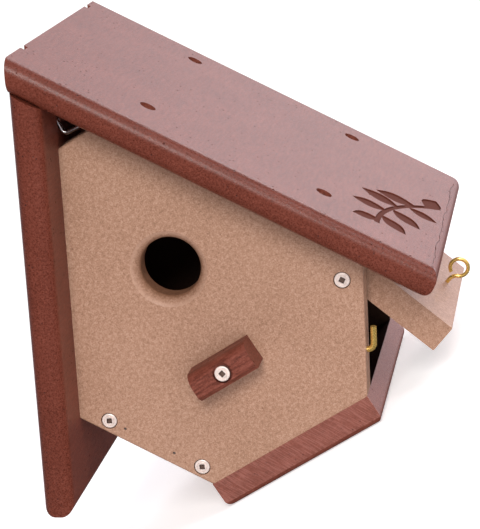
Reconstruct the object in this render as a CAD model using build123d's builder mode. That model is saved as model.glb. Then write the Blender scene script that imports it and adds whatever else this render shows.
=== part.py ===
"""Hanging A-frame birdhouse in poly lumber, with a side door for cleaning.

Two steep roof boards meet at the ridge.  Between them hangs a six-sided box: a front panel
with the entrance, a back panel, a floor, a fixed left wall and a right wall that is the door.
Lengths are millimetres.  +Z is up, the front faces -Y, +X is on the right seen from the front.
The origin is the centre of the floor's underside.
"""
import os
from math import cos, radians, sin

from build123d import *

# ---- driving dimensions ----
BOARD = 15.9  # thickness of every board
PITCH = 58.75  # slope of the roof and of the lower walls, degrees
RIGHT_LENGTH = 238.3  # right roof board, ridge to eave along the outer face
LEFT_LENGTH = 244.0  # left roof board, likewise
ROOF_DEPTH = 180.0  # front edge to back edge
FRONT_OVERHANG = 29.0  # roof edge in front of the front panel
NEST_DEPTH = 108.0  # clear distance between the two panels
SILL = 98.4  # bottom side of the six-sided panel
WALL = 78.6  # lower slanting side of the panel
VENT_FLAT = 27.0  # width of the panel's cut-off top
EDGE_ROUND = 6.35  # router round on the roof's front and eave edges
TOUCH = 0.01  # edges closer than this to a plane lie on it
DRILL_START = 1.0  # every drill starts this far above the surface
SHANK_CLEARANCE = 0.2  # on the radius, where a screw passes a board freely
HEAD_CLEARANCE = 0.25  # on the radius, round a screw's head in a roof or floor board
SEAT_EXTRA = 0.15  # a panel's screw seats are this much deeper than a head
MARK_DEPTH = 0.8  # routed sprig near the eave of the right roof board
STEM_WIDTH = 3.0
STEM = ((229.0, 6.0), (214.0, -14.0), (204.0, -36.0), (200.0, -68.0))  # down the slope, Y
LEAF_ROUND = 0.27  # half width over length
LEAF_STEPS = 12
LEAVES = (  # foot down the slope, foot Y, length, way it points in degrees from down the slope
    (222.0, -3.0, 21.0, 78.0),
    (217.0, -10.0, 24.0, -170.0),
    (212.5, -17.5, 18.0, -12.0),
    (208.5, -26.0, 23.0, 170.0),
    (205.0, -34.0, 21.0, -35.0),
    (203.0, -41.0, 20.0, 190.0),
    (201.0, -52.0, 20.0, -42.0),
    (200.5, -60.0, 17.0, 215.0),
)
CRACK_AT = 232.6  # down the slope, where the eave's round begins
CRACK_WIDTH = 0.35
CRACK_DEPTH = 0.5
CRACK_STEP = 4.3
CRACK_END_GAP = 2.0  # crack to the front round
CRACK_SWING = (0.2, 0.5, 0.4, 0.9, 0.3, -0.1, 0.1, -0.5, -0.3, 0.2, 0.8, 0.7, 0.0)  # off its line
EASE = 1.3  # eased arris on the panels

HOLE_DIAMETER = 31.75  # entrance
HOLE_DROP = 135.6  # entrance centre below the ridge
HOLE_SHIFT = -1.3  # entrance centre from the middle of the panel
LIP = 4.6  # width of the entrance's rounded rim on the face
LIP_DEPTH = 6.0
LIP_BULGE = 0.8  # how far its curve stands off a straight cone
INNER_RIM_ROUND = 1.0  # its rim inside the nest

SCREW_SHANK = 4.2
SCREW_HEAD = 8.1
HEAD_HEIGHT = 2.4
HEAD_ROUND = 0.6
HEAD_GROOVE = 2.75  # radius of the fine ring turned in a head
GROOVE_WIDTH = 0.35
DRIVE = 2.9  # square recess across the flats
DRIVE_DEPTH = 1.9
HEAD_GAP = 0.45  # ring of shadow round a sunk head
DOOR_RUNNING_GAP = 0.08  # pivot screw in the panel, on the radius
WALL_SCREW_LENGTH = 40.0
ROOF_SCREW_LENGTH = 32.0
FLOOR_SCREW_LENGTH = 34.0
ROOF_HEAD_SINK = 3.2  # how deep a roof screw's head lies
ROOF_SCREWS_AT = (70.3, 169.7)  # along the slope from the ridge
PANEL_SCREWS_AT = (14.5, 69.5)  # along the left wall from its top corner
NAILS_AT = (24.0, 53.0)
SCREW_INSET = 6.4  # in from the outer face of the left wall
FLOOR_SCREWS_X = 26.0
NAIL_DIAMETER = 1.6
NAIL_LENGTH = 30.0
NAIL_SET = 0.6  # how deep a nail is punched

PIVOT_RISE = 62.6  # door pivot above the lower corner, along the wall
PIVOT_INSET = 10.8  # door pivot in from the outer face
DOOR_TOP = 11.0  # door above the pivot
DOOR_REACH = 61.6  # door below the pivot
DOOR_SIDE_GAP = 0.8  # door to panel
DOOR_ROUND = 0.7
DOOR_OPEN = 50.2  # how far the door stands open at rest, degrees

EYE_WIRE = 2.1
EYE_RING = 9.7  # centreline diameter
EYE_REACH = 10.6  # ring centre out from the door's face
EYE_AT = 52.6  # along the door from the pivot
EYE_OFFSET = 9.0  # behind the middle of the door
EYE_SHANK = 12.0  # inside the board
NECK_TURN = 60  # how far the wire swings off its shank, degrees
RING_SWEEP = 308  # how far it then runs round the ring, degrees

HOOK_WIRE = 3.2
HOOK_RISE = 23.0  # above the lower corner, along the side of the front panel
HOOK_ARM = 12.5
HOOK_STAND = 3.5  # arm's centreline out from the panel
HOOK_SHANK = 14.0
HOOK_LEAD = 0.3  # straight piece before the bend
HOOK_HOLE_EXTRA = 0.5  # the hole is this much deeper than the shank

PERCH_LENGTH = 35.7
PERCH_HEIGHT = 15.0
PERCH_DEPTH = 17.0
PERCH_ROUND = 8.0
PERCH_BEVEL = 2.4
PERCH_DROP = 193.5  # perch centre below the ridge
PERCH_SHIFT = -3.8
PERCH_SCREW_X = -3.0
PERCH_SCREW_DROP = 193.4
PERCH_SCREW_PROUD = 0.9
PERCH_SCREW_TILT = 5.0
PERCH_BORE = 10.6
PERCH_BORE_DEPTH = 2.2
PERCH_SCREW_LENGTH = 30.0

FLOOR_ROUND = 4.5
DRAIN = 6.35
DRAIN_X = 20.0
DRAIN_Y = 38.0

WIRE = 2.3  # hanger wire
HANGER_Y = 65.0  # each leg from the middle of the house
NOTCH = 6.4  # width of the ridge notches
NOTCH_RIGHT = 1.2  # how far a notch breaks the ridge line
NOTCH_DROP = 15.0
NOTCH_BLOCK = 20.0  # size of the block cut away above a notch
LEG_LEAN = 4.7  # the leg's foot lies this far left of its top
LEG_FOOT_DROP = 48.5  # foot below the ridge
FOOT = 9.5
WIRE_LIFT = 1.5  # wire centreline above the left board's face
LOOP_START = 4.0  # where a leg bends over, down the slope
HANGER_HOLE_SHIFT = 1.5  # a leg's hole lies this far right of its bend
HANGER_HOLE_DEPTH = 45.0
FOOT_DIP = 1.0  # how far a foot's end lies below its bend
FOOT_RADIUS = 2.5
LOOP_RADIUS = 9.0
LOOP_DOWN = 58.0  # how far the folded loop reaches down the slope

# ---- derived places ----
SLOPE_X, SLOPE_Z = cos(radians(PITCH)), sin(radians(PITCH))  # down the slope, per millimetre
MITRE = BOARD / (2 * SLOPE_X * SLOPE_Z)  # length of a board's end cut along its neighbour
HALF_WIDTH = (SILL + 2 * WALL * SLOPE_X) / 2
SIDE_DROP = (BOARD + HALF_WIDTH * SLOPE_Z) / SLOPE_X  # side corners below the ridge
SILL_DROP = SIDE_DROP + WALL * SLOPE_Z
RIDGE = SILL_DROP + BOARD  # ridge above the floor's underside
VENT_DROP = (BOARD + VENT_FLAT / 2 * SLOPE_Z) / SLOPE_X
FRONT = -(NEST_DEPTH / 2 + BOARD)
BACK = -FRONT
ROOF_FRONT = FRONT - FRONT_OVERHANG
PANEL_MIDDLE = BACK - BOARD / 2
SIDE_Z = RIDGE - SIDE_DROP
SILL_Z = BOARD
RIGHT_CORNER = Vector(SILL / 2, 0, SILL_Z)  # lower right corner of the panel
WALL_UP = Vector(SLOPE_X, 0, SLOPE_Z)  # up the right wall
WALL_OUT = Vector(SLOPE_Z, 0, -SLOPE_X)  # out of the right wall
PIVOT = RIGHT_CORNER + WALL_UP * PIVOT_RISE - WALL_OUT * PIVOT_INSET
HOOK_PLACE = RIGHT_CORNER + WALL_UP * HOOK_RISE + Vector(0, FRONT + BOARD / 2, 0)
DOOR_TURN = DOOR_OPEN - (90 - PITCH)  # right of straight down, degrees
DOOR_OUT = Vector(cos(radians(DOOR_TURN)), 0, sin(radians(DOOR_TURN)))  # out of the door's face
DOOR_UP = Vector(-sin(radians(DOOR_TURN)), 0, cos(radians(DOOR_TURN)))  # along the door to its pivot
ENTRANCE = (HOLE_SHIFT, FRONT, RIDGE - HOLE_DROP)
BORE = HOLE_DIAMETER / 2
LIP_RADIUS = BORE + LIP
LIP_SLANT = Vector(LIP, LIP_DEPTH).length
LIP_MIDDLE = (
    BORE + LIP / 2 - LIP_BULGE * LIP_DEPTH / LIP_SLANT,
    LIP_DEPTH / 2 - LIP_BULGE * LIP / LIP_SLANT,
)
EYE_PLACE = PIVOT + DOOR_OUT * PIVOT_INSET - DOOR_UP * EYE_AT + Vector(0, EYE_OFFSET, 0)


def roof_point(along, inset=0.0, side=1):
    """X and Z of a point of a roof board: along the slope from the ridge, inset from its outer face."""
    return (side * (along * SLOPE_X - inset * SLOPE_Z), RIDGE - along * SLOPE_Z - inset * SLOPE_X)


def section(y):
    """The X-Z plane at the given depth, facing the front."""
    return Plane.XZ.offset(-y)


def screw(length, drive_turn=0.0):
    """A square drive screw that points down -Z, with the top of its head at the origin."""
    head_radius = SCREW_HEAD / 2
    shank_radius = SCREW_SHANK / 2
    with BuildPart() as body:
        with BuildSketch(Plane.XZ):
            with BuildLine():
                Polyline(
                    (0, 0),
                    (head_radius, 0),
                    (head_radius, -HEAD_HEIGHT),
                    (shank_radius, -HEAD_HEIGHT),
                    (shank_radius, -length + 2 * shank_radius),
                    (0, -length),
                    close=True,
                )
            make_face()
        revolve(axis=Axis.Z)
        fillet(body.edges().filter_by(GeomType.CIRCLE).group_by(Axis.Z)[-1], HEAD_ROUND)
        with BuildSketch(Plane.XY):
            Circle(HEAD_GROOVE)
            Circle(HEAD_GROOVE - GROOVE_WIDTH, mode=Mode.SUBTRACT)
        extrude(amount=-GROOVE_WIDTH, mode=Mode.SUBTRACT)
        with BuildSketch(Plane.XY):
            Rectangle(DRIVE, DRIVE, rotation=drive_turn)
        extrude(amount=-DRIVE_DEPTH, mode=Mode.SUBTRACT)
    return body.part


def nail():
    """A finishing nail that points down -Z, with its head at the origin."""
    with BuildPart() as body:
        with Locations((0, 0, -NAIL_LENGTH / 2)):
            Cylinder(NAIL_DIAMETER / 2, NAIL_LENGTH)
    return body.part


def inward(point, direction):
    """A location whose -Z runs along direction, so that a screw placed there is driven that way."""
    return Plane(origin=point, z_dir=Vector(direction) * -1).location


# Where the screws go.  Each location's -Z is the way the screw is driven.
def roof_screw_places(side):
    """Both rows of one roof board: into the edges of the front and the back panel."""
    places = []
    for along in ROOF_SCREWS_AT:
        for y in (-PANEL_MIDDLE, PANEL_MIDDLE):
            x, z = roof_point(along, ROOF_HEAD_SINK, side)
            places.append(inward((x, y, z), (-side * SLOPE_Z, 0, -SLOPE_X)))
    return places


def left_wall_places(y, into, distances, sink):
    """Points over the end of the left wall, on the panel face at depth y."""
    places = []
    for along in distances:
        x = -HALF_WIDTH + along * SLOPE_X + SCREW_INSET * SLOPE_Z
        z = SIDE_Z - along * SLOPE_Z + SCREW_INSET * SLOPE_X
        places.append(inward((x, y + into * sink, z), (0, into, 0)))
    return places


FRONT_SCREWS = left_wall_places(FRONT, 1, PANEL_SCREWS_AT, 0.0)
BACK_SCREWS = left_wall_places(BACK, -1, PANEL_SCREWS_AT, 0.0)
FRONT_NAILS = left_wall_places(FRONT, 1, NAILS_AT, NAIL_SET)
BACK_NAILS = left_wall_places(BACK, -1, NAILS_AT, NAIL_SET)
FRONT_PIVOT = inward((PIVOT.X, FRONT, PIVOT.Z), (0, 1, 0))
BACK_PIVOT = inward((PIVOT.X, BACK, PIVOT.Z), (0, -1, 0))
FLOOR_SCREWS = [
    inward((x, y, ROOF_HEAD_SINK), (0, 0, 1))
    for x in (-FLOOR_SCREWS_X, FLOOR_SCREWS_X)
    for y in (-PANEL_MIDDLE, PANEL_MIDDLE)
]
PERCH_SCREW = inward(
    (PERCH_SCREW_X, FRONT - PERCH_DEPTH - PERCH_SCREW_PROUD, RIDGE - PERCH_SCREW_DROP),
    (0, cos(radians(PERCH_SCREW_TILT)), -sin(radians(PERCH_SCREW_TILT))),
)


def drill(places, radius, depth, start=0.0):
    """Cuts a round hole down -Z of each place, from start above it."""
    with Locations(*places):
        with Locations((0, 0, start - (depth + start) / 2)):
            Cylinder(radius, depth + start, mode=Mode.SUBTRACT)


def seat_screws(places):
    """A sunk seat and a free hole for each screw of a roof or floor board."""
    seat_start = ROOF_HEAD_SINK + DRILL_START
    drill(places, SCREW_HEAD / 2 + HEAD_CLEARANCE, HEAD_HEIGHT, start=seat_start)
    drill(places, SCREW_SHANK / 2 + SHANK_CLEARANCE, BOARD)


# The hanger wire's route in the plane of one leg: foot end, foot, top bend, loop corner.
def loop_point(along):
    """X and Z of the folded loop's centreline, along the left slope from the ridge."""
    return roof_point(along, -WIRE_LIFT, -1)


TOP_BEND = loop_point(LOOP_START)
FOOT_BEND = (TOP_BEND[0] - LEG_LEAN, RIDGE - LEG_FOOT_DROP)
FOOT_END = (FOOT_BEND[0] + FOOT, FOOT_BEND[1] - FOOT_DIP)
LOOP_CORNER = loop_point(LOOP_DOWN)


def cut_hanger_holes():
    """The slanting hole for each leg of the hanger wire, through whatever board is being built."""
    lean = Vector(FOOT_BEND[0] - TOP_BEND[0], 0, FOOT_BEND[1] - TOP_BEND[1])
    places = [
        inward((TOP_BEND[0] + HANGER_HOLE_SHIFT, y, TOP_BEND[1]), (lean.X, 0, lean.Z))
        for y in (-HANGER_Y, HANGER_Y)
    ]
    drill(places, NOTCH / 2, HANGER_HOLE_DEPTH)


def leaf(along, y, length, turn):
    """A pointed leaf's outline on the roof's face, from its foot."""
    share = [i / LEAF_STEPS for i in range(LEAF_STEPS + 1)]
    tip = [(length * part, length * LEAF_ROUND * sin(radians(180 * part))) for part in share]
    rim = tip + [(u, -v) for u, v in reversed(tip[1:-1])]
    c, s = cos(radians(turn)), sin(radians(turn))
    return [(along + u * c - v * s, y + u * s + v * c) for u, v in rim]


def crack_points():
    """The uneven line that the router left along the eave."""
    count = int((ROOF_DEPTH - 2 * EDGE_ROUND) / CRACK_STEP)
    first = ROOF_FRONT + EDGE_ROUND + CRACK_END_GAP
    swing = len(CRACK_SWING)
    return [(CRACK_AT + CRACK_SWING[i % swing], first + CRACK_STEP * i) for i in range(count)]


RIGHT_SLOPE = Plane(
    origin=(0, 0, RIDGE), x_dir=(SLOPE_X, 0, -SLOPE_Z), z_dir=(SLOPE_Z, 0, SLOPE_X)
)  # the right board's outer face: X down the slope, Y to the back

def round_edges(board, length):
    """Rounds a roof board's front edges and its eave."""
    slope_edges = board.edges().filter_by(lambda e: e.length > length - 3 * BOARD)
    front_edges = slope_edges.filter_by(lambda e: abs(e.center().Y - ROOF_FRONT) < TOUCH)
    eave_edges = board.edges().filter_by(Axis.Y).sort_by(Axis.Z)[:2]
    fillet(front_edges + eave_edges, EDGE_ROUND)


# ---- roof ----
with BuildPart() as roof_board_right:
    with BuildSketch(section(ROOF_FRONT)):
        with BuildLine():
            Polyline(
                roof_point(0),
                roof_point(RIGHT_LENGTH),
                roof_point(RIGHT_LENGTH, BOARD),
                roof_point(MITRE, 0, -1),
                close=True,
            )
        make_face()
    extrude(amount=-ROOF_DEPTH)
    round_edges(roof_board_right, RIGHT_LENGTH)
    half_block = NOTCH_BLOCK / 2
    notches = [
        (NOTCH_RIGHT - half_block, y, RIDGE - NOTCH_DROP + half_block)
        for y in (-HANGER_Y, HANGER_Y)
    ]
    with Locations(*notches):
        Box(NOTCH_BLOCK, NOTCH, NOTCH_BLOCK, mode=Mode.SUBTRACT)
    cut_hanger_holes()
    seat_screws(roof_screw_places(1))
    with BuildSketch(RIGHT_SLOPE):
        for place in LEAVES:
            Polygon(*leaf(*place), align=None)
        with BuildLine():
            stem_line = Spline(*STEM)
        trace(stem_line, line_width=STEM_WIDTH)
    extrude(amount=-MARK_DEPTH, mode=Mode.SUBTRACT)
    with BuildSketch(RIGHT_SLOPE):
        with BuildLine():
            crack_line = Polyline(*crack_points())
        trace(crack_line, line_width=CRACK_WIDTH)
    extrude(amount=-CRACK_DEPTH, mode=Mode.SUBTRACT)
roof_board_right.part.label = "roof_board_right"

with BuildPart() as roof_board_left:
    with BuildSketch(section(ROOF_FRONT)):
        with BuildLine():
            Polyline(
                roof_point(MITRE, 0, -1),
                roof_point(LEFT_LENGTH, 0, -1),
                roof_point(LEFT_LENGTH, BOARD, -1),
                (0, RIDGE - BOARD / SLOPE_X),
                close=True,
            )
        make_face()
    extrude(amount=-ROOF_DEPTH)
    round_edges(roof_board_left, LEFT_LENGTH)
    cut_hanger_holes()
    seat_screws(roof_screw_places(-1))
roof_board_left.part.label = "roof_board_left"


# ---- box ----
PANEL_OUTLINE = [
    (-SILL / 2, SILL_Z),
    (SILL / 2, SILL_Z),
    (HALF_WIDTH, SIDE_Z),
    (VENT_FLAT / 2, RIDGE - VENT_DROP),
    (-VENT_FLAT / 2, RIDGE - VENT_DROP),
    (-HALF_WIDTH, SIDE_Z),
]


def drill_panel(screws, nails, pivot):
    """Holes that both panels share: sunk screws, nails and the door's pivot."""
    drill(screws + [pivot], SCREW_HEAD / 2 + HEAD_GAP, HEAD_HEIGHT + SEAT_EXTRA, start=DRILL_START)
    drill(screws, SCREW_SHANK / 2 + SHANK_CLEARANCE, BOARD)
    drill([pivot], SCREW_SHANK / 2 + DOOR_RUNNING_GAP, BOARD + 1)
    drill(nails, NAIL_DIAMETER / 2, BOARD, start=DRILL_START)
    drill(roof_screw_places(1) + roof_screw_places(-1), SCREW_SHANK / 2, ROOF_SCREW_LENGTH)
    drill(FLOOR_SCREWS, SCREW_SHANK / 2, FLOOR_SCREW_LENGTH)


def lower_rims(panel_edges, outer_y):
    """The arrises of a panel's outer face along its two lower sides and its cut-off top."""
    outer = panel_edges.filter_by(lambda e: abs(e.center().Y - outer_y) < TOUCH)
    sides = outer.filter_by(lambda e: SILL_Z + 1 < e.center().Z < SIDE_Z - 1)
    top = outer.filter_by(lambda e: abs(e.center().Z - (RIDGE - VENT_DROP)) < TOUCH)
    return sides + top


with BuildPart() as front_panel:
    with BuildSketch(section(FRONT)):
        Polygon(*PANEL_OUTLINE, align=None)
    extrude(amount=-BOARD)
    fillet(lower_rims(front_panel.edges(), FRONT), EASE)
    with Locations(inward(ENTRANCE, (0, 1, 0))):
        Hole(BORE, BOARD * 2)
    # the rim's round starts with a small shoulder where it meets the face
    with BuildSketch(Plane(origin=ENTRANCE, x_dir=(1, 0, 0), z_dir=(0, 0, 1))):
        with BuildLine():
            ThreePointArc((LIP_RADIUS, 0), LIP_MIDDLE, (BORE, LIP_DEPTH))
            Polyline(
                (BORE, LIP_DEPTH),
                (0, LIP_DEPTH),
                (0, -DRILL_START),
                (LIP_RADIUS, -DRILL_START),
                (LIP_RADIUS, 0),
            )
        make_face()
    revolve(axis=Axis(ENTRANCE, (0, 1, 0)), mode=Mode.SUBTRACT)
    fillet(
        front_panel.edges()
        .filter_by(GeomType.CIRCLE)
        .filter_by(lambda e: abs(e.center().Y - FRONT - BOARD) < TOUCH),
        INNER_RIM_ROUND,
    )
    drill_panel(FRONT_SCREWS, FRONT_NAILS, FRONT_PIVOT)
    drill([PERCH_SCREW], SCREW_SHANK / 2, PERCH_SCREW_LENGTH)
    drill(
        [inward(HOOK_PLACE, -WALL_OUT)],
        HOOK_WIRE / 2 + DOOR_RUNNING_GAP,
        HOOK_SHANK + HOOK_HOLE_EXTRA,
        start=DRILL_START,
    )
front_panel.part.label = "front_panel"

with BuildPart() as back_panel:
    with BuildSketch(section(BACK - BOARD)):
        Polygon(*PANEL_OUTLINE, align=None)
    extrude(amount=-BOARD)
    fillet(lower_rims(back_panel.edges(), BACK), EASE)
    drill_panel(BACK_SCREWS, BACK_NAILS, BACK_PIVOT)
back_panel.part.label = "back_panel"

with BuildPart() as floor_board:
    with Locations((0, 0, BOARD / 2)):
        Box(SILL, BACK - FRONT, BOARD)
    fillet(floor_board.edges().group_by(Axis.Z)[0], FLOOR_ROUND)
    with GridLocations(2 * DRAIN_X, 2 * DRAIN_Y, 2, 2):
        Cylinder(DRAIN / 2, BOARD * 3, mode=Mode.SUBTRACT)
    seat_screws(FLOOR_SCREWS)
floor_board.part.label = "floor_board"

with BuildPart() as left_wall:
    with BuildSketch(section(-NEST_DEPTH / 2)):
        with BuildLine():
            Polyline(
                (-SILL / 2, SILL_Z),
                (-SILL / 2 + BOARD / SLOPE_Z, SILL_Z),
                (-HALF_WIDTH + MITRE * SLOPE_X, SIDE_Z + MITRE * SLOPE_Z),
                (-HALF_WIDTH, SIDE_Z),
                close=True,
            )
        make_face()
    extrude(amount=-NEST_DEPTH)
    drill(FRONT_SCREWS + BACK_SCREWS, SCREW_SHANK / 2, WALL_SCREW_LENGTH)
    drill(FRONT_NAILS + BACK_NAILS, NAIL_DIAMETER / 2, NAIL_LENGTH)
left_wall.part.label = "left_wall"

# ---- door ----
with BuildPart() as door:
    with BuildSketch(Plane(origin=PIVOT - DOOR_UP * DOOR_REACH, x_dir=DOOR_OUT, z_dir=DOOR_UP)):
        with Locations((PIVOT_INSET - BOARD / 2, 0)):
            Rectangle(BOARD, NEST_DEPTH - 2 * DOOR_SIDE_GAP)
    extrude(amount=DOOR_REACH + DOOR_TOP)
    fillet(door.edges().filter_by(Axis.Y), DOOR_ROUND)
    drill([FRONT_PIVOT, BACK_PIVOT], SCREW_SHANK / 2, WALL_SCREW_LENGTH)
    drill([inward(EYE_PLACE, -DOOR_OUT)], EYE_WIRE / 2, EYE_SHANK, start=DRILL_START)
door.part.label = "door"

with BuildPart() as door_eye:
    ring = EYE_RING / 2
    with BuildLine(Plane(origin=EYE_PLACE, x_dir=DOOR_OUT, z_dir=(0, 1, 0))) as eye_path:
        neck = EYE_REACH - 2 * ring * sin(radians(NECK_TURN))
        stem = Line((-EYE_SHANK, 0), (neck, 0))
        swan = JernArc(stem @ 1, stem % 1, ring, NECK_TURN)
        JernArc(swan @ 1, swan % 1, ring, -RING_SWEEP)
    with BuildSketch(Plane(origin=EYE_PLACE - DOOR_OUT * EYE_SHANK, z_dir=DOOR_OUT)):
        Circle(EYE_WIRE / 2)
    sweep(path=eye_path.line)
door_eye.part.label = "door_eye"

with BuildPart() as door_pivot_screw_front:
    with Locations(FRONT_PIVOT):
        add(screw(WALL_SCREW_LENGTH, drive_turn=32))
door_pivot_screw_front.part.label = "door_pivot_screw_front"

with BuildPart() as door_pivot_screw_back:
    with Locations(BACK_PIVOT):
        add(screw(WALL_SCREW_LENGTH, drive_turn=10))
door_pivot_screw_back.part.label = "door_pivot_screw_back"

# ---- latch ----
with BuildPart() as latch_hook:
    bend = HOOK_STAND - HOOK_LEAD
    with BuildLine(Plane(origin=HOOK_PLACE, x_dir=WALL_OUT, z_dir=(0, -1, 0))) as hook_path:
        shank = Line((-HOOK_SHANK, 0), (HOOK_STAND - bend, 0))
        corner = JernArc(shank @ 1, shank % 1, bend, 90)
        Line(corner @ 1, (HOOK_STAND, HOOK_ARM))
    with BuildSketch(Plane(origin=HOOK_PLACE - WALL_OUT * HOOK_SHANK, z_dir=WALL_OUT)):
        Circle(HOOK_WIRE / 2)
    sweep(path=hook_path.line)
latch_hook.part.label = "latch_hook"

# ---- perch ----
with BuildPart() as perch_block:
    with Locations((PERCH_SHIFT, FRONT - PERCH_DEPTH / 2, RIDGE - PERCH_DROP)):
        Box(PERCH_LENGTH, PERCH_DEPTH, PERCH_HEIGHT)
    long_edges = perch_block.edges().filter_by(Axis.X).group_by(Axis.Y)[0]
    fillet(long_edges.sort_by(Axis.Z)[-1], PERCH_ROUND)
    chamfer(perch_block.edges().filter_by(Axis.X).group_by(Axis.Z)[0].sort_by(Axis.Y)[0], PERCH_BEVEL)
    drill([PERCH_SCREW], PERCH_BORE / 2, PERCH_SCREW_PROUD + PERCH_BORE_DEPTH, start=DRILL_START)
    drill([PERCH_SCREW], SCREW_SHANK / 2 + SHANK_CLEARANCE, PERCH_SCREW_LENGTH)
perch_block.part.label = "perch_block"

with BuildPart() as perch_screw:
    with Locations(PERCH_SCREW):
        add(screw(PERCH_SCREW_LENGTH, drive_turn=15))
perch_screw.part.label = "perch_screw"

# ---- screws and nails that hold the boards ----
with BuildPart() as roof_screws_right:
    with Locations(*roof_screw_places(1)):
        add(screw(ROOF_SCREW_LENGTH))
roof_screws_right.part.label = "roof_screws_right"

with BuildPart() as roof_screws_left:
    with Locations(*roof_screw_places(-1)):
        add(screw(ROOF_SCREW_LENGTH))
roof_screws_left.part.label = "roof_screws_left"

with BuildPart() as front_panel_screws:
    with Locations(*FRONT_SCREWS):
        add(screw(WALL_SCREW_LENGTH, drive_turn=62))
front_panel_screws.part.label = "front_panel_screws"

with BuildPart() as back_panel_screws:
    with Locations(*BACK_SCREWS):
        add(screw(WALL_SCREW_LENGTH, drive_turn=20))
back_panel_screws.part.label = "back_panel_screws"

with BuildPart() as floor_screws:
    with Locations(*FLOOR_SCREWS):
        add(screw(FLOOR_SCREW_LENGTH, drive_turn=35))
floor_screws.part.label = "floor_screws"

with BuildPart() as front_panel_nails:
    with Locations(*FRONT_NAILS):
        add(nail())
front_panel_nails.part.label = "front_panel_nails"

with BuildPart() as back_panel_nails:
    with Locations(*BACK_NAILS):
        add(nail())
back_panel_nails.part.label = "back_panel_nails"

# ---- hanger ----
with BuildPart() as hanger_wire:
    leg = [FOOT_END, FOOT_BEND, TOP_BEND, LOOP_CORNER]
    front_leg = [(x, -HANGER_Y, z) for x, z in leg]
    back_leg = [(x, HANGER_Y, z) for x, z in reversed(leg)]
    bends = [FOOT_RADIUS, FOOT_RADIUS, LOOP_RADIUS, LOOP_RADIUS, FOOT_RADIUS, FOOT_RADIUS]
    with BuildLine() as wire_path:
        FilletPolyline(*front_leg, *back_leg, radius=bends)
    start = Vector(FOOT_BEND[0] - FOOT_END[0], 0, FOOT_BEND[1] - FOOT_END[1])
    with BuildSketch(Plane(origin=front_leg[0], z_dir=start)):
        Circle(WIRE / 2)
    sweep(path=wire_path.line)
hanger_wire.part.label = "hanger_wire"

os.makedirs("parts", exist_ok=True)
for piece in (
    roof_board_right,
    roof_board_left,
    front_panel,
    back_panel,
    floor_board,
    left_wall,
    door,
    door_eye,
    door_pivot_screw_front,
    door_pivot_screw_back,
    latch_hook,
    perch_block,
    perch_screw,
    roof_screws_right,
    roof_screws_left,
    front_panel_screws,
    back_panel_screws,
    floor_screws,
    front_panel_nails,
    back_panel_nails,
    hanger_wire,
):
    export_step(piece.part, f"parts/{piece.part.label}.step")
    print(piece.part.label, round(piece.part.volume / 1000, 2), "cm3")
print("ridge", round(RIDGE, 2), "pivot", PIVOT, "eye", EYE_PLACE, "hook", HOOK_PLACE)
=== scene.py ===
"""Looks of an A-frame birdhouse in recycled plastic boards, around its CAD model."""
import math

import bmesh
import bpy
from mathutils import Matrix, Vector


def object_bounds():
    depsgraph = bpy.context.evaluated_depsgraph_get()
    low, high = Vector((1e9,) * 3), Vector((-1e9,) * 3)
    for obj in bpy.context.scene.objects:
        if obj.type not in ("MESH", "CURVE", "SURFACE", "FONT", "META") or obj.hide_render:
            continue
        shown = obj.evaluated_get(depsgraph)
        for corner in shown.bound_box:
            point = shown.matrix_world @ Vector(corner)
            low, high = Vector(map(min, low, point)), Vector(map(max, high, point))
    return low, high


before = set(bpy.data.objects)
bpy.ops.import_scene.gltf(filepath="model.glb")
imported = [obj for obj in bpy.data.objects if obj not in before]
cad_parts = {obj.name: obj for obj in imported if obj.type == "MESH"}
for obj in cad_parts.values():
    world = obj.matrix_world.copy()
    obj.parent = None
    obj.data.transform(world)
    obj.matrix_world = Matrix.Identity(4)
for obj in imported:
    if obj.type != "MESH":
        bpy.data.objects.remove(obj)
cad_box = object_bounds()
MM = 0.001

# ---- the house's own measures, in millimetres ----
BOARD = 15.9
RIDGE = cad_box[1].z / MM
ROOF_FRONT = cad_box[0].y / MM
EDGE_ROUND = 6.35
HEAD_SINK = 3.2  # roof and floor screws lie this deep
FLOOR_END = 49.2  # from the middle to the floor's ends
PANEL_FACE = 69.9  # from the middle of the box to each panel's outer face
PITCH = math.radians(58.75)
SLOPE_X, SLOPE_Z = math.cos(PITCH), math.sin(PITCH)
SLOPE = Vector((SLOPE_X, 0.0, -SLOPE_Z))  # down the right slope
RIGHT_OUT = Vector((SLOPE_Z, 0.0, SLOPE_X))  # out of the right roof board
LEFT_WALL_IN = Vector((SLOPE_Z, 0.0, SLOPE_X))  # into the box from the left wall
NEST_HALF = 54.0  # from the middle of the box to each panel's inner face
ENTRANCE_DROP = 135.6  # entrance centre below the ridge
ENTRANCE = (-1.3, -PANEL_FACE, RIDGE - ENTRANCE_DROP)
LIP_EDGE = 20.5  # radius of the entrance's rim on the face
SILL_CORNER = (-49.2, 0.0, BOARD)  # lower left corner of the panels


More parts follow.
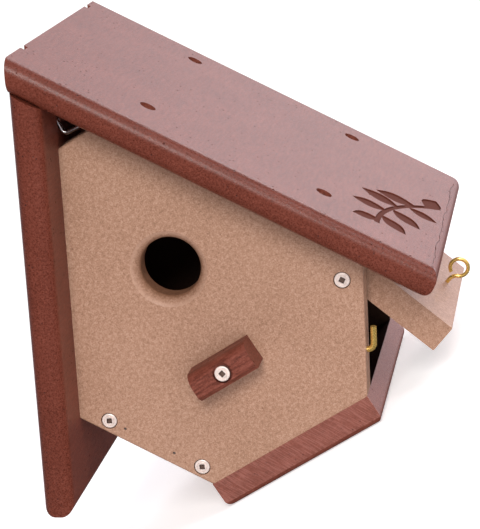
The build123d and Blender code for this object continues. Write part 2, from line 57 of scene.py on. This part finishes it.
# ---- surface maths ----
class Value:
    """A number that varies over a surface. Arithmetic on it adds Math nodes."""

    def __init__(self, maker, socket):
        self.maker = maker
        self.socket = socket

    def math(self, operation, *others):
        return self.maker.math(operation, self, *others)

    def __add__(self, other):
        return self.math("ADD", other)

    def __radd__(self, other):
        return self.maker.math("ADD", other, self)

    def __sub__(self, other):
        return self.math("SUBTRACT", other)

    def __rsub__(self, other):
        return self.maker.math("SUBTRACT", other, self)

    def __mul__(self, other):
        return self.math("MULTIPLY", other)

    def __rmul__(self, other):
        return self.maker.math("MULTIPLY", other, self)

    def __pow__(self, other):
        return self.math("POWER", other)

    def __abs__(self):
        return self.math("ABSOLUTE")

    def rise(self, low, high, least=0.0, most=1.0):
        """least below low, most above high, smooth between; falls if low is above high."""
        node = self.maker.node(
            "ShaderNodeMapRange",
            {"interpolation_type": "SMOOTHSTEP"},
            {"Value": self, "From Min": low, "From Max": high, "To Min": least, "To Max": most},
        )
        return Value(self.maker, node.outputs["Result"])

    def near(self, middle, reach, soft):
        """1 within reach of middle, 0 beyond, with a soft edge."""
        return abs(self - middle).rise(reach + soft, reach)


class NodeMaker:
    """Adds nodes to one tree, of a material or of the surround."""

    def __init__(self, tree):
        self.tree = tree
        tree.nodes.clear()

    def feed(self, socket, value):
        if isinstance(value, Value):
            value = value.socket
        if isinstance(value, bpy.types.NodeSocket):
            self.tree.links.new(value, socket)
        elif value is not None:
            if hasattr(socket.default_value, "__len__") and hasattr(value, "__len__"):
                value = tuple(value) + (1.0,) * (len(socket.default_value) - len(value))
            socket.default_value = value

    def node(self, kind, settings=None, sockets=None, stops=None):
        """Any node: its type, its settings, the values or links of its sockets, a ramp's stops."""
        made = self.tree.nodes.new(kind)
        for name, value in (settings or {}).items():
            setattr(made, name, value)
        if stops:
            elements = made.color_ramp.elements
            while len(elements) < len(stops):
                elements.new(0.5)
            for element, (position, colour) in zip(elements, stops):
                element.position = position
                element.color = (*colour, 1.0)
        for name, value in (sockets or {}).items():
            self.feed(made.inputs[name], value)
        return made

    def math(self, operation, *values):
        made = self.node("ShaderNodeMath", {"operation": operation}, dict(enumerate(values)))
        return Value(self, made.outputs[0])


class Finish(NodeMaker):
    """One material and the nodes it is made of."""

    def __init__(self, name, **constants):
        self.material = bpy.data.materials.new(name)
        self.material.use_nodes = True
        super().__init__(self.material.node_tree)
        self.shader = self.node("ShaderNodeBsdfPrincipled")
        self.output = self.node("ShaderNodeOutputMaterial", {}, {"Surface": self.shader.outputs[0]})
        for word, value in constants.items():
            self.feed(self.shader.inputs[word.replace("_", " ").title().replace("Ior", "IOR")], value)
        position = self.node("ShaderNodeTexCoord").outputs["Object"]
        self.place = self.vector("SCALE", position, 1 / MM)

    def vector(self, operation, first, second):
        second_name = "Scale" if operation == "SCALE" else 1
        sockets = {0: first, second_name: second}
        made = self.node("ShaderNodeVectorMath", {"operation": operation}, sockets)
        return made.outputs["Value" if operation in ("DOT_PRODUCT", "LENGTH") else "Vector"]

    def along(self, direction, start=(0.0, 0.0, 0.0)):
        """Millimetres along a direction from a start point."""
        length = Value(self, self.vector("DOT_PRODUCT", self.place, tuple(direction)))
        return length - Vector(direction).dot(Vector(start))

    def noise(self, size, detail=3.0, roughness=0.5, stretch=None, shift=0.0, turn=0.0):
        """Soft noise with lumps about size millimetres across, longer along a stretched axis."""
        place = self.place
        if turn:
            turned = self.node(
                "ShaderNodeVectorRotate",
                {"rotation_type": "Y_AXIS"},
                {"Vector": place, "Angle": math.radians(turn)},
            )
            place = turned.outputs["Vector"]
        if stretch:
            place = self.vector("MULTIPLY", place, tuple(1 / s for s in stretch))
        if shift:
            place = self.vector("ADD", place, (shift, shift * 1.7, -shift))
        made = self.node(
            "ShaderNodeTexNoise",
            {"noise_dimensions": "3D"},
            {
                "Vector": place,
                "Scale": 1 / size,
                "Detail": detail,
                "Roughness": roughness,
            },
        )
        return Value(self, made.outputs["Fac"])

    def cells(self, size, stretch=None):
        """Distance to the nearest of scattered points, in cell sizes."""
        place = self.place
        if stretch:
            place = self.vector("MULTIPLY", place, tuple(1 / s for s in stretch))
        made = self.node(
            "ShaderNodeTexVoronoi",
            {"feature": "F1"},
            {"Vector": place, "Scale": 1 / size, "Randomness": 1.0},
        )
        return Value(self, made.outputs["Distance"])

    def ramp(self, value, stops):
        return self.node("ShaderNodeValToRGB", {}, {"Fac": value}, stops).outputs["Color"]

    def blend(self, mask, under, over):
        """One colour over another, by a mask."""
        made = self.node("ShaderNodeMix", {"data_type": "RGBA"}, {0: mask, 6: under, 7: over})
        return made.outputs[2]

    def tint(self, mask, under, over):
        """A colour multiplied over another, by a mask."""
        made = self.node(
            "ShaderNodeMix",
            {"data_type": "RGBA", "blend_type": "MULTIPLY"},
            {0: mask, 6: under, 7: over},
        )
        return made.outputs[2]

    def relief(self, height, depth):
        """Bumps: height from 0 to 1, depth in millimetres."""
        sockets = {"Height": height, "Strength": 1.0, "Distance": depth * MM}
        made = self.node("ShaderNodeBump", {}, sockets)
        self.feed(self.shader.inputs["Normal"], made.outputs["Normal"])

    def paint(self, colour, roughness=None):
        self.feed(self.shader.inputs["Base Color"], colour)
        self.feed(self.shader.inputs["Roughness"], roughness)

    def on(self, *names):
        """Puts the finish on CAD nodes."""
        for name in names:
            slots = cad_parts[name].data.materials
            slots.clear()
            slots.append(self.material)
        return self


# ---- boards ----
BROWN_DARK = (0.085, 0.020, 0.011)
BROWN = (0.150, 0.038, 0.023)
BROWN_LIGHT = (0.225, 0.068, 0.046)
BROWN_ROUTED = (0.100, 0.026, 0.016)
SAWN_AND_SHEEN = (0.360, 0.150, 0.120)  # pale saw scratches, with painted sheen on the floor's front and end
TAN_DARK = (0.252, 0.137, 0.086)
TAN = (0.350, 0.199, 0.130)
TAN_LIGHT = (0.455, 0.283, 0.203)
PIT = (0.42, 0.30, 0.30)
# painted shade: darkens the roof boards' rounded front band
BAND_PAINTED_SHADE = (0.80, 0.72, 0.68)
RECESS = (0.20, 0.15, 0.13)  # shadow in a screw's drive
LIP_PAINTED_SHADE = (0.62, 0.52, 0.44)  # painted shade, darker towards the entrance's bore
NEST_PAINTED_SHADE = (0.10, 0.08, 0.07)  # painted shade inside the box


def brown_board(name, stretch, streak=0.3):
    """Solid brown board with fine grain, streaks along its length and small pits."""
    finish = Finish(name, specular_ior_level=0.24)
    clouds = finish.noise(30, 2.0)
    grain = finish.noise(0.7, 4.0, 0.65)
    flecks = finish.noise(1.4, 2.0, 0.5, shift=31)
    streaks = finish.noise(1.2, 2.0, 0.55, stretch=stretch, shift=7)
    tone = 0.5 + 0.2 * (clouds - 0.5) + 0.75 * (grain - 0.5)
    tone = tone + 0.4 * (flecks - 0.5) + streak * (streaks - 0.5)
    colour = finish.ramp(tone, [(0.28, BROWN_DARK), (0.5, BROWN), (0.74, BROWN_LIGHT)])
    spots = finish.cells(3.6, stretch=(1.0, 1.3, 1.0)).rise(0.16, 0.08)
    spots = spots * finish.noise(11, 1.0, shift=90).rise(0.48, 0.58)
    colour = finish.tint(spots, colour, PIT)
    finish.height = 0.5 * grain + 0.35 * streaks - 0.9 * spots
    finish.colour = colour
    finish.roughness = 0.42 + 0.35 * (grain - 0.5) + 0.3 * spots
    return finish


def smooth_and_shade_band(finish):
    """The routed front band is smoother than the flat faces, and darkened with painted shade."""
    band = finish.along((0, 1, 0), (0, ROOF_FRONT, 0)).rise(EDGE_ROUND, 0.7 * EDGE_ROUND)
    finish.colour = finish.tint(band, finish.colour, BAND_PAINTED_SHADE)
    finish.roughness = finish.roughness - 0.12 * band


def done(finish, depth):
    """Paints a board and gives its surface relief of a depth in millimetres."""
    finish.paint(finish.colour, finish.roughness)
    finish.relief(finish.height, depth)
    return finish


ROOF_GRAIN = (1.0, 9.0, 1.0)  # the streaks run from front to back
ROOF_RELIEF = 0.22
CRACK_AT = 232.75  # down the slope
ROUTED_DEEPEST = 1.0
roof_right = brown_board("roof_right_brown", ROOF_GRAIN)
smooth_and_shade_band(roof_right)
down = roof_right.along(SLOPE, (0, 0, RIDGE))
depth = roof_right.along(-RIGHT_OUT, (0, 0, RIDGE))
back = roof_right.along((0, 1, 0))
sprig_area = down.near(207, 24.5, 0.5) * back.near(-30, 47, 1)
routed = depth.rise(0.25, 0.5) * depth.rise(ROUTED_DEEPEST + 0.2, ROUTED_DEEPEST) * sprig_area
crack_area = down.near(CRACK_AT, 1.1, 0.05) * back.near(-5, 86, 0.5)
cracked = depth.rise(0.25, 0.35) * depth.rise(ROUTED_DEEPEST + 0.2, ROUTED_DEEPEST) * crack_area
roof_right.colour = roof_right.blend(routed, roof_right.colour, BROWN_ROUTED)
roof_right.colour = roof_right.blend(cracked, roof_right.colour, BROWN_ROUTED)
roof_right.roughness = roof_right.roughness + 0.55 * routed
done(roof_right, ROOF_RELIEF).on("roof_board_right")

roof_left = brown_board("roof_left_brown", ROOF_GRAIN)
smooth_and_shade_band(roof_left)
done(roof_left, ROOF_RELIEF).on("roof_board_left")

floor_brown = brown_board("floor_brown", (8.0, 1.0, 2.0))
# painted shade on the floor's top inside the box
shaded_nest_floor = floor_brown.along((0, 0, 1)).rise(BOARD - 0.5, BOARD - 0.2)
shaded_nest_floor = shaded_nest_floor * floor_brown.along((0, 1, 0)).near(0, NEST_HALF, 0.2)
floor_brown.colour = floor_brown.tint(shaded_nest_floor, floor_brown.colour, NEST_PAINTED_SHADE)
out_of_front = floor_brown.along((0, -1, 0)).rise(PANEL_FACE - 0.4, PANEL_FACE - 0.2)
out_of_end = floor_brown.along((1, 0, 0)).rise(FLOOR_END - 0.4, FLOOR_END - 0.2)
scratches = floor_brown.noise(0.55, 2.0, stretch=(1.0, 1.0, 16.0), shift=3, turn=28.0).rise(0.42, 0.66)
# pale saw scratches plus painted sheen on the floor's front and end faces
scratches_and_sheen = (out_of_front * 0.55 + out_of_end * 0.75) * (0.35 + 0.65 * scratches)
floor_brown.colour = floor_brown.blend(scratches_and_sheen, floor_brown.colour, SAWN_AND_SHEEN)
done(floor_brown, 0.25).on("floor_board")

perch_brown = brown_board("perch_brown", (10.0, 1.0, 1.0), streak=0.9)
done(perch_brown, 0.25).on("perch_block")


def tan_board(name):
    """Tan board with a fine mottle of darker and paler flecks."""
    finish = Finish(name, specular_ior_level=0.25)
    clouds = finish.noise(40, 2.0)
    mottle = finish.noise(1.8, 3.0, 0.6)
    grain = finish.noise(0.7, 3.0, 0.6)
    tone = 0.5 + 0.15 * (clouds - 0.5) + 0.75 * (mottle - 0.5) + 1.0 * (grain - 0.5)
    colour = finish.ramp(tone, [(0.25, TAN_DARK), (0.5, TAN), (0.75, TAN_LIGHT)])
    dark_flecks = finish.cells(2.6).rise(0.2, 0.08) * finish.noise(7, 1.0, shift=44).rise(0.48, 0.58)
    pale_flecks = finish.cells(3.2, stretch=(1.0, 1.0, 1.8)).rise(0.16, 0.06)
    pale_flecks = pale_flecks * finish.noise(9, 1.0, shift=12).rise(0.5, 0.6)
    colour = finish.tint(dark_flecks * 0.6, colour, (0.6, 0.5, 0.45))
    colour = finish.blend(pale_flecks * 0.4, colour, TAN_LIGHT)
    finish.colour = colour
    finish.height = 0.6 * grain + 0.4 * mottle - 0.5 * dark_flecks
    finish.roughness = 0.46 + 0.2 * (grain - 0.5)
    return finish


def shade_inside_face(finish, distance):
    """Paints shade, darkening what lies further in than a face of the box."""
    finish.colour = finish.tint(distance.rise(-0.4, -0.1), finish.colour, NEST_PAINTED_SHADE)


TAN_RELIEF = 0.1
panel_tan = tan_board("panel_tan")
across = panel_tan.along((1, 0, 0), ENTRANCE)
above = panel_tan.along((0, 0, 1), ENTRANCE)
sunk = panel_tan.along((0, 1, 0), ENTRANCE)
from_middle = (across * across + above * above) ** 0.5
lip = from_middle.rise(LIP_EDGE + 0.1, LIP_EDGE - 0.1) * sunk.rise(0.02, 0.15)
# painted highlight on the entrance's outer shoulder, then painted shade deeper towards the bore
panel_tan.colour = panel_tan.blend(lip * sunk.rise(2.0, 0.4) * 0.45, panel_tan.colour, TAN_LIGHT)
panel_tan.colour = panel_tan.tint(lip * sunk.rise(1.5, 6.5), panel_tan.colour, LIP_PAINTED_SHADE)
shade_inside_face(panel_tan, panel_tan.along((0, 1, 0), (0, -NEST_HALF, 0)))
done(panel_tan, TAN_RELIEF).on("front_panel")
back_tan = tan_board("back_tan")
shade_inside_face(back_tan, back_tan.along((0, -1, 0), (0, NEST_HALF, 0)))
done(back_tan, TAN_RELIEF).on("back_panel")
wall_tan = tan_board("wall_tan")
shade_inside_face(wall_tan, wall_tan.along(LEFT_WALL_IN, SILL_CORNER) - BOARD)
done(wall_tan, TAN_RELIEF).on("left_wall")
door_tan = tan_board("door_tan")
done(door_tan, TAN_RELIEF).on("door")


# ---- metal ----
def metal(name, colour, roughness, grain_size, metallic=1.0):
    """Slightly uneven metal."""
    finish = Finish(name, metallic=metallic)
    tarnish = finish.noise(grain_size * 6, 3.0)
    grain = finish.noise(grain_size, 2.0)
    finish.paint(
        finish.ramp(tarnish, [(0.3, tuple(c * 0.8 for c in colour)), (0.6, colour)]),
        roughness + 0.15 * (grain - 0.5),
    )
    finish.relief(grain, 0.02)
    return finish


metal("brass", (0.95, 0.66, 0.19), 0.25, 0.5, 0.75).on("door_eye", "latch_hook")
def screw_metal(name, inward, face, *nodes):
    """Stainless screws with painted shadow in the drive: deeper than the head's face along inward."""
    finish = metal(name, STAINLESS, 0.4, 0.4, 0.35)
    deep = finish.along(inward, face).rise(0.35, 0.6)
    bright = finish.shader.inputs["Base Color"].links[0].from_socket
    finish.paint(finish.tint(deep, bright, RECESS))
    return finish.on(*nodes)


STAINLESS = (0.92, 0.79, 0.72)
PERCH_FACE = (-3.0, -87.8, 68.6)
PERCH_TILT = math.radians(5.0)
LEFT_OUT = Vector((-SLOPE_Z, 0.0, SLOPE_X))
for end, way in (("front", 1), ("back", -1)):
    face = (0, -way * PANEL_FACE, 0)
    nodes = (end + "_panel_screws", "door_pivot_screw_" + end)
    screw_metal("screws_" + end, (0, way, 0), face, *nodes)
screw_metal("screw_perch", (0, math.cos(PERCH_TILT), -math.sin(PERCH_TILT)), PERCH_FACE, "perch_screw")
for side, out in (("right", RIGHT_OUT), ("left", LEFT_OUT)):
    face = Vector((0.0, 0.0, RIDGE)) - out * HEAD_SINK
    screw_metal("screws_roof_" + side, -out, face, "roof_screws_" + side)
screw_metal("screws_floor", (0, 0, 1), (0, 0, HEAD_SINK), "floor_screws")
metal("dull_nail", (0.30, 0.26, 0.24), 0.5, 0.4).on("front_panel_nails", "back_panel_nails")
metal("galvanised_wire", (0.78, 0.78, 0.78), 0.25, 0.6).on("hanger_wire")


# ---- studio ----
FLOOR_RADIUS = 2.6  # metres
FLOOR_FADE = (350, 1300)  # millimetres from the middle
FLOOR_DROP = 0.3
FLOOR_GLOW = (0.45, 0.45, 0.45)
FLOOR_WHITE = (0.86, 0.86, 0.86)
FLOOR_PALEST = (0.88, 0.88, 0.88)


def pale_floor():
    """A wide round floor that fades out into the white surround."""
    mesh = bpy.data.meshes.new("floor")
    shape = bmesh.new()
    bmesh.ops.create_circle(shape, cap_ends=True, segments=96, radius=FLOOR_RADIUS)
    shape.to_mesh(mesh)
    shape.free()
    floor = bpy.data.objects.new("floor", mesh)
    floor.location.z = -FLOOR_DROP * MM
    bpy.context.scene.collection.objects.link(floor)
    finish = Finish("floor_white", roughness=0.9, specular_ior_level=0.0, emission_strength=1.0)
    finish.feed(finish.shader.inputs["Emission Color"], FLOOR_GLOW)
    floor.visible_glossy = False
    floor.visible_shadow = False  # the light from low down behind passes it
    texture = finish.noise(40, 2.0)
    finish.paint(finish.ramp(texture, [(0.3, FLOOR_WHITE), (0.7, FLOOR_PALEST)]))
    radius = Value(finish, finish.vector("LENGTH", finish.place, (0, 0, 0)))
    clear = finish.node("ShaderNodeBsdfTransparent")
    fade = finish.node(
        "ShaderNodeMixShader",
        {},
        {0: radius.rise(*FLOOR_FADE), 1: finish.shader.outputs[0], 2: clear.outputs[0]},
    )
    finish.feed(finish.output.inputs["Surface"], fade.outputs[0])
    mesh.materials.append(finish.material)


pale_floor()


def soft_light(name, place, size, power, colour, aim=(0, 0, 0.13)):
    data = bpy.data.lights.new(name, "AREA")
    data.shape = "DISK"
    data.size = size
    data.energy = power
    data.color = colour
    light = bpy.data.objects.new(name, data)
    light.location = place
    light.rotation_mode = "QUATERNION"
    light.rotation_quaternion = (Vector(aim) - Vector(place)).to_track_quat("-Z", "Y")
    bpy.context.scene.collection.objects.link(light)


soft_light("key_light", (0.65, -1.85, 1.10), 0.9, 36.0, (1.0, 0.985, 0.96))
soft_light("side_light", (1.30, -0.55, 0.85), 0.45, 5.0, (1.0, 0.96, 0.98))
soft_light("back_light", (1.3, 1.5, 0.9), 1.0, 13.0, (0.98, 0.98, 1.0))


def surround():
    """White to look at. As light it is bright behind the house, most on its right, and dark below."""
    world = bpy.data.worlds.new("surround")
    bpy.context.scene.world = world
    world.use_nodes = True
    maker = NodeMaker(world.node_tree)
    generated = maker.node("ShaderNodeTexCoord").outputs["Generated"]
    direction = maker.node("ShaderNodeSeparateXYZ", {}, {0: generated}).outputs
    behind = Value(maker, direction["Y"]).rise(0.35, 0.95, LIGHT_IN_FRONT, LIGHT_BEHIND)
    beside = Value(maker, direction["X"]).rise(0.02, 0.30, 1.0, RIGHT_OVER_LEFT)
    below = Value(maker, direction["Z"]).rise(-0.34, -0.18, LIGHT_BELOW, 1.0)
    seen = maker.node("ShaderNodeLightPath").outputs["Is Camera Ray"]
    colour = maker.node("ShaderNodeMix", {"data_type": "RGBA"}, {0: seen, 6: MAUVE_WHITE, 7: WHITE})
    strength = (behind * beside * below).math("MAXIMUM", seen)
    light = maker.node("ShaderNodeBackground", {}, {"Color": colour.outputs[2], "Strength": strength})
    maker.node("ShaderNodeOutputWorld", {}, {"Surface": light.outputs[0]})


LIGHT_IN_FRONT = 0.30
LIGHT_BEHIND = 1.2
LIGHT_BELOW = 0.05
RIGHT_OVER_LEFT = 2.0
MAUVE_WHITE = (1.0, 0.91, 0.98)
WHITE = (1.0, 1.0, 1.0)
surround()


CAMERA_PLACE = Vector((319.75, -972.4, 253.95))  # millimetres
CAMERA_AIM = Vector((-0.30003, 0.94190, -0.15105))
CAMERA_UP = Vector((0.49704, 0.28951, 0.81800))  # the house is seen leaning
LENS = 127.66


def camera():
    data = bpy.data.cameras.new("camera")
    data.sensor_width = 36.0
    data.lens = LENS
    data.clip_start, data.clip_end = 0.05, 50.0
    eye = bpy.data.objects.new("camera", data)
    bpy.context.scene.collection.objects.link(eye)
    forward = CAMERA_AIM.normalized()
    up = CAMERA_UP.normalized()
    side = forward.cross(up).normalized()
    up = side.cross(forward)
    turn = Matrix((side, up, -forward)).transposed()
    eye.matrix_world = Matrix.Translation(CAMERA_PLACE * MM) @ turn.to_4x4()
    bpy.context.scene.camera = eye


camera()
bpy.context.scene.view_settings.view_transform = "Standard"
